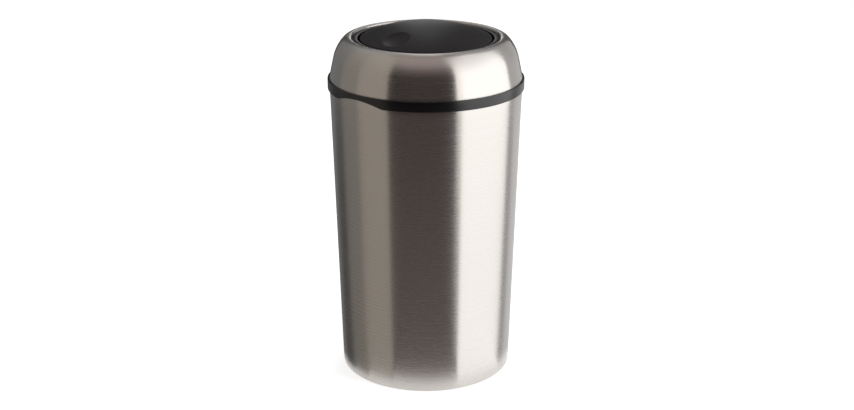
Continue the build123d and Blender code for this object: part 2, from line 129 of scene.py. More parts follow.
def grain_group():
    """Shader group for sheet steel brushed round the axis: its fine streaks and its broad drift."""
    group = bpy.data.node_groups.new("brushed_round", "ShaderNodeTree")
    sockets = group.interface
    for label, value in (("Streaks per metre", 900.0), ("Streak length", 3.0), ("Wear", 0.5)):
        socket = sockets.new_socket(name=label, in_out="INPUT", socket_type="NodeSocketFloat")
        socket.default_value = value
    sockets.new_socket(name="Streak", in_out="OUTPUT", socket_type="NodeSocketFloat")
    sockets.new_socket(name="Drift", in_out="OUTPUT", socket_type="NodeSocketFloat")
    enter = group.nodes.new("NodeGroupInput")
    leave = group.nodes.new("NodeGroupOutput")
    link = group.links.new
    place = add(group, "ShaderNodeTexCoord")
    split = add(group, "ShaderNodeSeparateXYZ")
    link(place.outputs["Object"], split.inputs[0])
    across = add(group, "ShaderNodeVectorMath", operation="MULTIPLY")
    across.inputs[1].default_value = (1.0, 1.0, 0.0)
    link(place.outputs["Object"], across.inputs[0])
    reach = add(group, "ShaderNodeVectorMath", operation="LENGTH")
    link(across.outputs[0], reach.inputs[0])
    along = add(group, "ShaderNodeMath", operation="SUBTRACT")
    link(split.outputs["Z"], along.inputs[0])
    link(reach.outputs["Value"], along.inputs[1])
    rows = add(group, "ShaderNodeMath", operation="MULTIPLY")
    link(along.outputs[0], rows.inputs[0])
    link(enter.outputs["Streaks per metre"], rows.inputs[1])
    run_x = add(group, "ShaderNodeMath", operation="MULTIPLY")
    run_y = add(group, "ShaderNodeMath", operation="MULTIPLY")
    for run, axis in ((run_x, "X"), (run_y, "Y")):
        link(split.outputs[axis], run.inputs[0])
        link(enter.outputs["Streak length"], run.inputs[1])
    spot = add(group, "ShaderNodeCombineXYZ")
    link(run_x.outputs[0], spot.inputs["X"])
    link(run_y.outputs[0], spot.inputs["Y"])
    link(rows.outputs[0], spot.inputs["Z"])
    streak = add(group, "ShaderNodeTexNoise", Scale=1.0, Detail=3.0, Roughness=0.6)
    link(spot.outputs[0], streak.inputs["Vector"])
    drift = add(group, "ShaderNodeTexNoise", Scale=9.0, Detail=2.0)
    link(place.outputs["Object"], drift.inputs["Vector"])
    worn = add(group, "ShaderNodeMath", operation="MULTIPLY")
    link(drift.outputs["Fac"], worn.inputs[0])
    link(enter.outputs["Wear"], worn.inputs[1])
    link(streak.outputs["Fac"], leave.inputs["Streak"])
    link(worn.outputs[0], leave.inputs["Drift"])
    return group


brushed_round = grain_group()


def brushed_steel(name, colour, roughness, smear, streaks, seam=0.0):
    """Steel with a grain round the axis, which stretches highlights, and a weld line if asked."""
    material = bpy.data.materials.new(name)
    material.use_nodes = True
    tree = material.node_tree
    tree.nodes.clear()
    link = tree.links.new
    shader = add(tree, "ShaderNodeBsdfPrincipled", Metallic=1.0)
    out = add(tree, "ShaderNodeOutputMaterial")
    link(shader.outputs[0], out.inputs[0])
    shader.inputs["Anisotropic"].default_value = smear
    shader.inputs["Anisotropic Rotation"].default_value = 0.25
    turn = add(tree, "ShaderNodeTangent", direction_type="RADIAL", axis="Z")
    link(turn.outputs[0], shader.inputs["Tangent"])
    grain = add(tree, "ShaderNodeGroup", node_tree=brushed_round)
    grain.inputs["Streaks per metre"].default_value = streaks
    tone = add(tree, "ShaderNodeMapRange")
    tone.inputs["From Min"].default_value = 0.3
    tone.inputs["From Max"].default_value = 0.7
    tone.inputs["To Min"].default_value = 0.975
    tone.inputs["To Max"].default_value = 1.018
    link(grain.outputs["Streak"], tone.inputs["Value"])
    shade = add(tree, "ShaderNodeMix", data_type="RGBA", blend_type="MULTIPLY")
    shade.inputs["Factor"].default_value = 1.0
    shade.inputs[6].default_value = (*colour, 1.0)
    link(tone.outputs[0], shade.inputs[7])
    link(shade.outputs[2], shader.inputs["Base Color"])
    gloss = add(tree, "ShaderNodeMapRange")
    gloss.inputs["From Min"].default_value = 0.2
    gloss.inputs["From Max"].default_value = 0.8
    gloss.inputs["To Min"].default_value = roughness * (1 - gloss_swing)
    gloss.inputs["To Max"].default_value = roughness * (1 + gloss_swing)
    link(grain.outputs["Streak"], gloss.inputs["Value"])
    drifted = add(tree, "ShaderNodeMath", operation="MULTIPLY_ADD")
    link(grain.outputs["Drift"], drifted.inputs[0])
    drifted.inputs[1].default_value = roughness * gloss_drift
    link(gloss.outputs[0], drifted.inputs[2])
    link(drifted.outputs[0], shader.inputs["Roughness"])
    bump = add(tree, "ShaderNodeBump", Strength=0.016, Distance=0.00004)
    link(grain.outputs["Streak"], bump.inputs["Height"])
    link(bump.outputs[0], shader.inputs["Normal"])
    if seam:
        place = add(tree, "ShaderNodeTexCoord")
        split = add(tree, "ShaderNodeSeparateXYZ")
        link(place.outputs["Object"], split.inputs[0])
        off_seam = add(tree, "ShaderNodeMath", operation="ABSOLUTE")
        link(split.outputs["X"], off_seam.inputs[0])
        line = add(tree, "ShaderNodeMapRange")
        line.inputs["From Max"].default_value = seam
        line.inputs["To Min"].default_value = 1.0
        line.inputs["To Max"].default_value = 0.0
        link(off_seam.outputs[0], line.inputs["Value"])
        behind = add(tree, "ShaderNodeMath", operation="GREATER_THAN")
        link(split.outputs["Y"], behind.inputs[0])
        mask = add(tree, "ShaderNodeMath", operation="MULTIPLY")
        link(line.outputs[0], mask.inputs[0])
        link(behind.outputs[0], mask.inputs[1])
        welded = add(tree, "ShaderNodeMix", data_type="RGBA")
        link(mask.outputs[0], welded.inputs[0])
        link(shade.outputs[2], welded.inputs[6])
        weld_colour = [level * share for level, share in zip(colour, weld_tint)]
        welded.inputs[7].default_value = (*weld_colour, 1.0)
        link(welded.outputs[2], shader.inputs["Base Color"])
    return material


body_steel = brushed_steel(
    "body_steel",
    sheet_colour,
    roughness=0.26,
    smear=sheet_smear,
    streaks=sheet_streaks,
    seam=weld_half_width,
)
foot_at_gap = can_foot_radius + (can_lip_radius - can_foot_radius) * can_low.z / can_high.z
hem_top = can_low.z + can_hem_height
lip_inner = can_lip_radius - can_lip_width
fold_in = can_lip_fold - sheet_gauge
fold_height = can_high.z - can_lip_fold
outer_fold = (can_lip_radius - can_lip_fold, fold_height)
inner_fold = (lip_inner + can_lip_fold, fold_height)
return_height = can_high.z - can_lip_return
can_profile = (
    straight((foot_at_gap, can_low.z), (can_lip_radius, fold_height), can_wall_steps)
    + quarter(outer_fold, can_lip_fold, 0, 90)
    + quarter(inner_fold, can_lip_fold, 90, 180)
    + [(lip_inner, return_height), (lip_inner + sheet_gauge, return_height)]
    + quarter(inner_fold, fold_in, 180, 90)
    + quarter(outer_fold, fold_in, 90, 0)
    + [
        (foot_at_gap - sheet_gauge, hem_top),
        (foot_at_gap - 2 * sheet_gauge, hem_top),
        (foot_at_gap - 2 * sheet_gauge, can_low.z),
    ]
)
steel_can = lathe("steel_can", can_profile, body_steel)
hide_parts("body_shell")
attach(steel_can, "can")

# The base is a pressed steel pan over a black moulded ring that stands on six
# rubber pads, screwed together from below. It stays hidden under the hem.
moulding_grain_scale = 900.0
moulding_grain_depth = 0.00006
moulding_mottle = 0.15


def moulded(name, colour, roughness, specular=0.5):
    """Moulded plastic with a fine spark-eroded texture and a slight drift of gloss."""
    material = bpy.data.materials.new(name)
    material.use_nodes = True
    tree = material.node_tree
    tree.nodes.clear()
    link = tree.links.new
    shader = add(tree, "ShaderNodeBsdfPrincipled")
    shader.inputs["Specular IOR Level"].default_value = specular
    out = add(tree, "ShaderNodeOutputMaterial")
    link(shader.outputs[0], out.inputs[0])
    place = add(tree, "ShaderNodeTexCoord")
    fine = add(tree, "ShaderNodeTexNoise", Scale=moulding_grain_scale, Detail=2.0)
    link(place.outputs["Object"], fine.inputs["Vector"])
    broad = add(tree, "ShaderNodeTexNoise", Scale=14.0, Detail=3.0)
    link(place.outputs["Object"], broad.inputs["Vector"])
    gloss = add(tree, "ShaderNodeMapRange")
    gloss.inputs["To Min"].default_value = roughness * (1 - moulding_mottle)
    gloss.inputs["To Max"].default_value = roughness * (1 + moulding_mottle)
    link(broad.outputs["Fac"], gloss.inputs["Value"])
    link(gloss.outputs[0], shader.inputs["Roughness"])
    tone = add(tree, "ShaderNodeMapRange")
    tone.inputs["To Min"].default_value = 0.85
    tone.inputs["To Max"].default_value = 1.15
    link(fine.outputs["Fac"], tone.inputs["Value"])
    shade = add(tree, "ShaderNodeMix", data_type="RGBA", blend_type="MULTIPLY")
    shade.inputs["Factor"].default_value = 1.0
    shade.inputs[6].default_value = (*colour, 1.0)
    link(tone.outputs[0], shade.inputs[7])
    link(shade.outputs[2], shader.inputs["Base Color"])
    bump = add(tree, "ShaderNodeBump", Strength=0.25, Distance=moulding_grain_depth)
    link(fine.outputs["Fac"], bump.inputs["Height"])
    link(bump.outputs[0], shader.inputs["Normal"])
    return material


def dress(material, *nodes):
    """Gives CAD nodes that keep their shape a finish of their own."""
    for node in nodes:
        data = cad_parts[node].data
        data.materials.clear()
        data.materials.append(material)


hidden_moulding = moulded("hidden_moulding", (0.02, 0.02, 0.02), roughness=0.5)
pad_rubber = moulded("pad_rubber", (0.015, 0.015, 0.015), roughness=0.8)
pan_steel = brushed_steel("pan_steel", (0.5, 0.5, 0.5), roughness=0.42, smear=0.3, streaks=500.0)
dress(hidden_moulding, "base_ring")
dress(pad_rubber, "foot_pads")
dress(pan_steel, "base_pan")

# The inner bucket is moulded in dark grey plastic with a flange that hangs on the
# can's lip, and it lifts out by two slots under the flange.
bucket_plastic = moulded("bucket_plastic", (0.035, 0.035, 0.037), roughness=0.42)
dress(bucket_plastic, "inner_bucket")

# The lid band is a satin black moulding that caps the can and carries the dome.
# Its lower edge rises near the front in a shallow arch for the fingers.
band_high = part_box("lid_band")[1]
band_radius = band_high.x
band_height = 0.0171
band_wall = 0.0024
band_wall_start = 0.002
band_wall_steps = 3
band_web_drop = 0.0025
band_web_gauge = 0.0025
band_web_inner = 0.1445
band_recess = 0.001
band_recess_depth = 0.0015
band_round = 0.0007
band_rim_outer = 0.1529
band_rim_inner = 0.1512
band_rim_depth = 0.0054
band_steps = 512
band_bottom = band_high.z - band_height
band_web_top = band_high.z - band_web_drop
band_web_bottom = band_web_top - band_web_gauge
band_rim_bottom = band_web_bottom - band_rim_depth
scoop_depth = 0.0086
scoop_radius = 0.146
scoop_corner_round = 0.02
scoop_slack = 1e-6
scoop_turn = math.radians(-5.2)
scoop_reach = math.sqrt(scoop_depth * (2 * (scoop_radius + scoop_corner_round) - scoop_depth))
scoop_blend = scoop_reach * scoop_radius / (scoop_radius + scoop_corner_round)
band_inside = band_radius - band_wall


def scoop_lift(turn, radius, height):
    """How far the scoop raises a point of the band's lower edge."""
    if radius < band_inside - scoop_slack or height > band_web_bottom or math.sin(turn) > 0:
        return 0.0
    across = abs(radius * math.cos(turn - scoop_turn))
    if across >= scoop_reach:
        return 0.0
    if across > scoop_blend:
        rise = scoop_corner_round - math.sqrt(scoop_corner_round**2 - (scoop_reach - across) ** 2)
    else:
        rise = scoop_depth - scoop_radius + math.sqrt(scoop_radius**2 - across**2)
    return rise * (band_web_bottom - height) / (band_web_bottom - band_bottom)


band_plastic = moulded("band_plastic", (0.0035, 0.003, 0.0034), roughness=0.26, specular=0.6)
wall_foot = (band_radius, band_bottom + band_wall_start)
band_profile = (
    quarter((band_radius - band_round, band_bottom + band_round), band_round, -90, 0)
    + straight(wall_foot, (band_radius, band_web_bottom), band_wall_steps)
    + quarter((band_radius - band_round, band_high.z - band_round), band_round, 0, 90)
    + [
        (band_inside + band_recess, band_high.z),
        (band_inside, band_high.z - band_recess_depth),
        (band_inside, band_web_top),
        (band_web_inner, band_web_top),
        (band_web_inner, band_web_bottom),
        (band_rim_inner, band_web_bottom),
        (band_rim_inner, band_rim_bottom),
        (band_rim_outer, band_rim_bottom),
        (band_rim_outer, band_web_bottom),
        (band_inside, band_web_bottom),
        (band_inside, band_bottom),
    ]
)
black_band = lathe("black_band", band_profile, band_plastic, steps=band_steps, shift=scoop_lift)
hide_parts("lid_band")
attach(black_band, "lid")

# The dome is spun from the same steel. It stands on the band by an inturned
# flange, bulges up to a rounded crest and rolls over into the mouth.
dome_low, dome_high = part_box("dome_shell")
dome_radius = dome_high.x
dome_peak = dome_high.z
dome_peak_radius = 0.1276
mouth_radius = 0.1236
dome_flange_inner = 0.1455
mouth_flange = 0.576
mouth_flange_inner = 0.1168
dome_side_radius = 0.155
dome_side_drop = 0.0359
dome_side_steps = 8
dome_haunch_radius = 0.13945
dome_haunch_drop = 0.00535
dome_haunch_steps = 20
dome_crest_steps = 14
mouth_roll_steps = 12
sheet_bend = 0.0014
band_grip_depth = 0.0002
dome_first_lean = 0.00002


def swing_to(points, end, steps):
    """Carries on from the last two points of a path by a tangent arc to an end point."""
    (x0, y0), (x1, y1) = points[-2], points[-1]
    heading = math.atan2(y1 - y0, x1 - x0)
    chord = math.atan2(end[1] - y1, end[0] - x1)
    bend = (chord - heading + math.pi) % (2 * math.pi) - math.pi
    radius = math.dist((x1, y1), end) / (2 * math.sin(bend))
    centre = (x1 - radius * math.sin(heading), y1 + radius * math.cos(heading))
    for step in range(1, steps + 1):
        turn = heading - math.pi / 2 + 2 * bend * step / steps
        points.append((centre[0] + radius * math.cos(turn), centre[1] + radius * math.sin(turn)))
    return points


def doubled(path, gauge):
    """Closes an open path into sheet metal, with the metal on the path's left."""
    inner = []
    for spot, (x, y) in enumerate(path):
        before = path[max(spot - 1, 0)]
        after = path[min(spot + 1, len(path) - 1)]
        length = math.dist(before, after)
        over, up = after[0] - before[0], after[1] - before[1]
        inner.append((x - gauge * up / length, y + gauge * over / length))
    return path + inner[::-1]


dome_steel = brushed_steel(
    "dome_steel", sheet_colour, roughness=0.25, smear=sheet_smear, streaks=sheet_streaks
)
side_start = (dome_radius - dome_first_lean, band_high.z)
side_end = (dome_side_radius, dome_peak - dome_side_drop)
haunch_end = (dome_haunch_radius, dome_peak - dome_haunch_drop)
crest = (dome_peak_radius, dome_peak)
mouth_edge = (mouth_radius, dome_peak - (dome_peak_radius - mouth_radius))
dome_path = [(dome_flange_inner, dome_low.z)]
dome_path += quarter((dome_radius - sheet_bend, dome_low.z + sheet_bend), sheet_bend, -90, 0)
dome_path += [(dome_radius, band_high.z - band_grip_depth)]
dome_path += straight(side_start, side_end, dome_side_steps)[1:] + [side_end]
dome_path = swing_to(dome_path, haunch_end, dome_haunch_steps)
dome_path = swing_to(dome_path, crest, dome_crest_steps)
dome_path = swing_to(dome_path, mouth_edge, mouth_roll_steps)
dome_path += quarter((mouth_radius - sheet_bend, mouth_flange + sheet_bend), sheet_bend, 0, -90)
dome_path += [(mouth_flange_inner, mouth_flange)]
steel_dome = lathe("steel_dome", doubled(dome_path, sheet_gauge), dome_steel)
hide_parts("dome_shell")
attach(steel_dome, "lid")

# A black bezel drops into the dome's mouth. The carrier ring under the steel
# clamps it there and holds the two bearing blocks.
bezel_low, bezel_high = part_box("opening_bezel")
bezel_radius = bezel_high.x
bezel_opening = 0.1138
bezel_rim = 0.581
bezel_sleeve = 0.0025
bezel_plastic = moulded("bezel_plastic", (0.0105, 0.0095, 0.0102), roughness=0.42, specular=0.3)
bezel_width = bezel_radius - bezel_opening
bezel_round = 0.0005
bezel_crown = 0.0009
bezel_top_steps = 10
bezel_profile = (
    [
        (bezel_opening, bezel_low.z),
        (bezel_opening + bezel_sleeve, bezel_low.z),
        (bezel_opening + bezel_sleeve, mouth_flange),
        (bezel_radius - sheet_bend, mouth_flange),
        (bezel_radius, mouth_flange + sheet_bend),
    ]
    + quarter((bezel_radius - bezel_round, bezel_rim - 2 * bezel_round), bezel_round, 0, 80, 4)
    + [
        (
            bezel_radius - bezel_width * step / bezel_top_steps,
            bezel_rim
            - bezel_round * (1 - step / bezel_top_steps)
            + bezel_crown * math.sin(math.pi * step / bezel_top_steps),
        )
        for step in range(1, bezel_top_steps)
    ]
    + quarter((bezel_opening + bezel_round, bezel_rim - bezel_round), bezel_round, 100, 180, 4)
)
black_bezel = lathe("black_bezel", bezel_profile, bezel_plastic)
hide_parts("opening_bezel")
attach(black_bezel, "lid")
dress(hidden_moulding, "carrier_ring", "bearing_block_right", "bearing_block_left")

# The flap's cover is one domed black moulding with a shallow dish for the thumb
# at the front; its wall is the same all over, so the dish shows underneath too.
cover_low, cover_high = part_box("flap_cover")
flap_radius = cover_high.x
flap_rim = bezel_rim
flap_crown = cover_high.z - flap_rim
flap_skirt_bottom = cover_low.z
flap_wall = 0.002
flap_round = 0.0024
dimple_radius = 0.023
dimple_depth = 0.004
dimple_soft = 0.0005
dimple_from_axis = 0.0795
dimple_blend_reach = 6
cover_steps = 512
crown_rings = 24
dimple_rings = 78
inside_rings = 40
edge_rings = 8
edge_fullness = 1.15
cover_crease = 40.0
crown_radius = (flap_radius**2 + flap_crown**2) / (2 * flap_crown)
crown_centre = flap_rim + flap_crown - crown_radius
dish_radius = (dimple_radius**2 + dimple_depth**2) / (2 * dimple_depth)
dish_reach = math.sqrt(crown_radius**2 - dimple_radius**2) + dish_radius - dimple_depth
dish_lean = math.asin(dimple_from_axis / crown_radius)
dish_centre = Vector(
    (0, -dish_reach * math.sin(dish_lean), crown_centre + dish_reach * math.cos(dish_lean))
)


def cover_height(x, y, grown):
    """Height of the cover's outside, or of its inside where grown is the wall, dish blended in."""
    crown = crown_centre + math.sqrt((crown_radius - grown) ** 2 - x * x - y * y)
    away = (dish_radius + grown) ** 2 - (x - dish_centre.x) ** 2 - (y - dish_centre.y) ** 2
    if away <= 0:
        return crown
    dish = dish_centre.z - math.sqrt(away)
    gap = (crown - dish) / dimple_soft
    if gap > dimple_blend_reach:
        return dish
    if gap < -dimple_blend_reach:
        return crown
    return crown - dimple_soft * 0.5 * math.log1p(math.exp(2 * gap))


def cover_mesh(name, material):
    """Polar sheets for the outside and the inside of the cover, joined round the skirt."""
    mesh = bmesh.new()
    inner_edge = flap_radius - flap_round
    inside_edge = flap_radius - flap_wall
    dish_start = dimple_from_axis - dimple_radius - 4 * dimple_soft
    dish_width = inner_edge - dish_start
    crown_radii = [dish_start * step / crown_rings for step in range(1, crown_rings)]
    dish_radii = [dish_start + dish_width * step / dimple_rings for step in range(dimple_rings + 1)]
    outside_radii = crown_radii + dish_radii
    inside_radii = [inside_edge * step / inside_rings for step in range(1, inside_rings + 1)]
    sides = []
    for grown, radii in ((0.0, outside_radii), (flap_wall, inside_radii)):
        rings = []
        for radius in radii:
            ring = []
            for step in range(cover_steps):
                turn = 2 * math.pi * step / cover_steps
                x, y = radius * math.cos(turn), radius * math.sin(turn)
                ring.append(mesh.verts.new((x, y, cover_height(x, y, grown))))
            rings.append(ring)
        pole = mesh.verts.new((0, 0, cover_height(0, 0, grown)))
        for step in range(cover_steps):
            mesh.faces.new((pole, rings[0][step], rings[0][(step + 1) % cover_steps]))
        sides.append(rings)
        for inner, outer in zip(rings, rings[1:]):
            for step in range(cover_steps):
                after = (step + 1) % cover_steps
                mesh.faces.new((inner[step], outer[step], outer[after], inner[after]))
    slope = math.asin(inner_edge / crown_radius)
    top = crown_centre + math.sqrt(crown_radius**2 - inner_edge**2)
    rise = math.sin(slope)
    edge = []
    for step in range(1, edge_rings + 1):
        turn = slope + (math.pi / 2 - slope) * step / edge_rings
        outward = (flap_radius - inner_edge) * (math.sin(turn) - rise) / (1 - rise)
        downward = flap_round * edge_fullness * (math.cos(slope) - math.cos(turn))
        edge.append((inner_edge + outward, top - downward))
    edge += [(flap_radius, flap_skirt_bottom), (inside_edge, flap_skirt_bottom)]
    last = sides[0][-1]
    for radius, height in edge:
        ring = []
        for step in range(cover_steps):
            turn = 2 * math.pi * step / cover_steps
            ring.append(mesh.verts.new((radius * math.cos(turn), radius * math.sin(turn), height)))
        for step in range(cover_steps):
            after = (step + 1) % cover_steps
            mesh.faces.new((last[step], ring[step], ring[after], last[after]))
        last = ring
    for step in range(cover_steps):
        after = (step + 1) % cover_steps
        mesh.faces.new((last[step], sides[1][-1][step], sides[1][-1][after], last[after]))
    return finish_mesh(name, mesh, material, crease=cover_crease)


flap_plastic = moulded("flap_plastic", (0.0124, 0.0098, 0.0116), roughness=0.42, specular=0.24)
swing_cover = cover_mesh("swing_cover", flap_plastic)
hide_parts("flap_cover")
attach(swing_cover, "flap")
dress(flap_plastic, "flap_pan")
dress(hidden_moulding, "weight_tray")

# The pivot pins are pressed into the flap's bosses, and the counterweight bar is
# held in its tray. Both are plated steel.
zinc = brushed_steel("zinc_steel", (0.6, 0.6, 0.62), roughness=0.3, smear=0.0, streaks=300.0)
dress(zinc, "pivot_pin_right", "pivot_pin_left", "counterweight")

# The screws are zinc-plated pan heads with a cross recess, all driven upward from
# below, where nobody sees them until the lid is off.
screw_radius = 0.0015
screw_head_radius = 0.0026
screw_head_height = 0.0019
screw_head_round = 0.00114
recess_arm = 0.00125
recess_half_width = 0.00038
recess_depth = 0.001
recess_taper = 0.55
screw_sides = 24
screw_twist = 1.7


def screw_mesh(name, length):
    """One screw, head down, with the underside of its head at the origin."""
    mesh = bmesh.new()
    sides = screw_sides
    flat = screw_head_radius - screw_head_round
    head = quarter((flat, screw_head_round - screw_head_height), screw_head_round, -90, 0)
    profile = head + [(screw_head_radius, 0.0), (screw_radius, 0.0), (screw_radius, length)]
    turns = [2 * math.pi * side / sides for side in range(sides)]
    rings = []
    for radius, height in profile:
        places = [(radius * math.cos(turn), radius * math.sin(turn), height) for turn in turns]
        rings.append([mesh.verts.new(place) for place in places])
    for low_ring, high_ring in zip(rings, rings[1:]):
        for side in range(sides):
            after = (side + 1) % sides
            mesh.faces.new((low_ring[side], low_ring[after], high_ring[after], high_ring[side]))
    mesh.faces.new(rings[-1])
    arm, half = recess_arm, recess_half_width
    corners = [(arm, -half), (arm, half), (half, half)]
    cross = [
        (x * math.cos(turn) - y * math.sin(turn), x * math.sin(turn) + y * math.cos(turn))
        for turn in (0, math.pi / 2, math.pi, 3 * math.pi / 2)
        for x, y in corners
    ]
    mouth = [mesh.verts.new((x, y, -screw_head_height)) for x, y in cross]
    floor_z = recess_depth - screw_head_height
    bottom = [mesh.verts.new((x * recess_taper, y * recess_taper, floor_z)) for x, y in cross]
    for side in range(len(cross)):
        after = (side + 1) % len(cross)
        mesh.faces.new((mouth[side], mouth[after], bottom[after], bottom[side]))
    mesh.faces.new(bottom)
    rim = [mesh.edges.get((rings[0][side], rings[0][(side + 1) % sides])) for side in range(sides)]
    lip = [mesh.edges.get((mouth[side], mouth[(side + 1) % len(cross)])) for side in range(len(cross))]
    bmesh.ops.triangle_fill(mesh, use_beauty=True, edges=rim + lip)
    return finish_mesh(name, mesh, zinc)


def screw_circle_tree():
    """Geometry Nodes tree that sets copies of a screw evenly round a circle, as one mesh."""
    tree = bpy.data.node_groups.new("screw_circle", "GeometryNodeTree")
    for label, kind in (
        ("Screw", "NodeSocketObject"),
        ("Count", "NodeSocketInt"),
        ("Circle radius", "NodeSocketFloat"),
        ("First angle", "NodeSocketFloat"),
        ("Seat height", "NodeSocketFloat"),
        ("Finish", "NodeSocketMaterial"),
    ):
        tree.interface.new_socket(name=label, in_out="INPUT", socket_type=kind)
    tree.interface.new_socket(name="Screws", in_out="OUTPUT", socket_type="NodeSocketGeometry")
    enter = tree.nodes.new("NodeGroupInput")
    leave = tree.nodes.new("NodeGroupOutput")
    link = tree.links.new

    def worked(operation, first, second):
        """Output of a maths node whose inputs are numbers or other nodes' outputs."""
        node = add(tree, "ShaderNodeMath", operation=operation)
        for socket, value in zip(node.inputs, (first, second)):
            if isinstance(value, float):
                socket.default_value = value
            elif value is not None:
                link(value, socket)
        return node.outputs[0]

    index = tree.nodes.new("GeometryNodeInputIndex")
    step = worked("DIVIDE", 2 * math.pi, enter.outputs["Count"])
    turn = worked("ADD", worked("MULTIPLY", index.outputs[0], step), enter.outputs["First angle"])
    spot = tree.nodes.new("ShaderNodeCombineXYZ")
    link(worked("MULTIPLY", worked("COSINE", turn, None), enter.outputs["Circle radius"]), spot.inputs["X"])
    link(worked("MULTIPLY", worked("SINE", turn, None), enter.outputs["Circle radius"]), spot.inputs["Y"])
    link(enter.outputs["Seat height"], spot.inputs["Z"])
    points = tree.nodes.new("GeometryNodePoints")
    link(enter.outputs["Count"], points.inputs["Count"])
    link(spot.outputs[0], points.inputs["Position"])
    pattern = tree.nodes.new("GeometryNodeObjectInfo")
    link(enter.outputs["Screw"], pattern.inputs["Object"])
    facing = tree.nodes.new("ShaderNodeCombineXYZ")
    link(worked("MULTIPLY", turn, screw_twist), facing.inputs["Z"])
    copies = tree.nodes.new("GeometryNodeInstanceOnPoints")
    link(points.outputs[0], copies.inputs["Points"])
    link(pattern.outputs["Geometry"], copies.inputs["Instance"])
    link(facing.outputs[0], copies.inputs["Rotation"])
    real = tree.nodes.new("GeometryNodeRealizeInstances")
    link(copies.outputs[0], real.inputs[0])
    finish = tree.nodes.new("GeometryNodeSetMaterial")
    link(real.outputs[0], finish.inputs["Geometry"])
    link(enter.outputs["Finish"], finish.inputs["Material"])
    link(finish.outputs[0], leave.inputs["Screws"])
    return tree


screw_circle = screw_circle_tree()


def screw_set(node, body, count, circle, *first_angles):
    """Replaces a node of screws by detailed ones on its circle, one ring for each first angle."""
    low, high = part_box(node)
    seat = low.z + screw_head_height
    pattern = screw_mesh(node + "_pattern", high.z - seat)
    joined = bmesh.new()
    for angle in first_angles:
        holder = bpy.data.objects.new(node + "_ring", bpy.data.meshes.new(node + "_ring"))
        bpy.context.scene.collection.objects.link(holder)
        modifier = holder.modifiers.new("screws", "NODES")
        modifier.node_group = screw_circle
        values = (pattern, count, circle, math.radians(angle), seat, zinc)
        sockets = [item for item in screw_circle.interface.items_tree if item.in_out == "INPUT"]
        for socket, value in zip(sockets, values):
            modifier[socket.identifier] = value
        seen = holder.evaluated_get(bpy.context.evaluated_depsgraph_get())
        plain = bpy.data.meshes.new_from_object(seen)
        joined.from_mesh(plain)
        bpy.data.objects.remove(holder)
        bpy.data.meshes.remove(plain)
    bpy.data.objects.remove(pattern)
    data = bpy.data.meshes.new("plated_" + node)
    joined.to_mesh(data)
    joined.free()
    data.shade_smooth()
    data.set_sharp_from_angle(angle=math.radians(sharp_corner))
    data.materials.append(zinc)
    piece = bpy.data.objects.new("plated_" + node, data)
    bpy.context.scene.collection.objects.link(piece)
    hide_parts(node)
    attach(piece, body)


bearing_screw_x = 0.1212
bearing_screw_y = 0.012
bearing_circle = math.hypot(bearing_screw_x, bearing_screw_y)
bearing_angle = math.degrees(math.atan2(bearing_screw_y, bearing_screw_x))
base_screw_circle = 0.137828
band_screw_circle = 0.1483
carrier_screw_circle = 0.1198
tray_screw_circle = 0.0798
flap_screw_circle = 0.095

# Each set: its body, the screws in a ring, the ring's radius and each ring's first angle.
screw_set("base_screws", "can", 6, base_screw_circle, 30.0)
screw_set("band_screws", "lid", 8, band_screw_circle, 22.5)
screw_set("carrier_screws", "lid", 6, carrier_screw_circle, 30.0)
screw_set("bearing_screws", "lid", 2, bearing_circle, bearing_angle, -bearing_angle)
screw_set("tray_screws", "flap", 2, tray_screw_circle, 0.0)
screw_set("flap_screws", "flap", 6, flap_screw_circle, 30.0)

# The studio: a white floor that keeps the can's shadow, a white surround, three
# soft lamps, and grey, black and white cards that only the shiny surfaces mirror.
camera_turn = 37.5
card_reach = 1.5
card_wall_top = 2.0
card_roof_reach = 0.7
card_roof_top = 2.2
card_foot_radius = 0.155
card_floor_gap = 0.0005
card_strip = 2
card_glow_height = 2.2
card_floor_share = 0.073
near_spot = 0.005
floor_spot = 0.055
wall_spot = 0.115
roof_spot = 0.995
no_tint = (1.0, 1.0)


def card_light(name, floor, wall, high, roof, tint, turn_up=0.5, near=None):
    """Matt glow of a card out over the floor, up the wall and overhead, and next to the can."""
    material = bpy.data.materials.new(name)
    material.use_nodes = True
    tree = material.node_tree
    tree.nodes.clear()
    link = tree.links.new
    place = add(tree, "ShaderNodeTexCoord")
    split = add(tree, "ShaderNodeSeparateXYZ")
    link(place.outputs["Object"], split.inputs[0])
    flat = add(tree, "ShaderNodeVectorMath", operation="MULTIPLY")
    flat.inputs[1].default_value = (1.0, 1.0, 0.0)
    link(place.outputs["Object"], flat.inputs[0])
    away = add(tree, "ShaderNodeVectorMath", operation="LENGTH")
    link(flat.outputs[0], away.inputs[0])
    path = add(tree, "ShaderNodeMath", operation="MULTIPLY_ADD")
    link(away.outputs["Value"], path.inputs[0])
    path.inputs[1].default_value = card_floor_share
    link(split.outputs["Z"], path.inputs[2])
    share = add(tree, "ShaderNodeMath", operation="DIVIDE")
    link(path.outputs[0], share.inputs[0])
    share.inputs[1].default_value = card_glow_height
    ramp = add(tree, "ShaderNodeValToRGB")
    link(share.outputs[0], ramp.inputs[0])
    near = floor if near is None else near
    stops = (
        (near_spot, near),
        (floor_spot, floor),
        (wall_spot, wall),
        (turn_up + floor_spot, high),
        (roof_spot, roof),
    )
    while len(ramp.color_ramp.elements) < len(stops):
        ramp.color_ramp.elements.new(0.5)
    brightest = max(value for _, value in stops)
    for element, (spot, value) in zip(ramp.color_ramp.elements, stops):
        level = value / brightest
        element.position = spot
        element.color = (level * tint[0], level, level * tint[1], 1.0)
    glow = add(tree, "ShaderNodeEmission", Strength=brightest)
    link(ramp.outputs[0], glow.inputs["Color"])
    out = add(tree, "ShaderNodeOutputMaterial")
    link(glow.outputs[0], out.inputs[0])
    return material


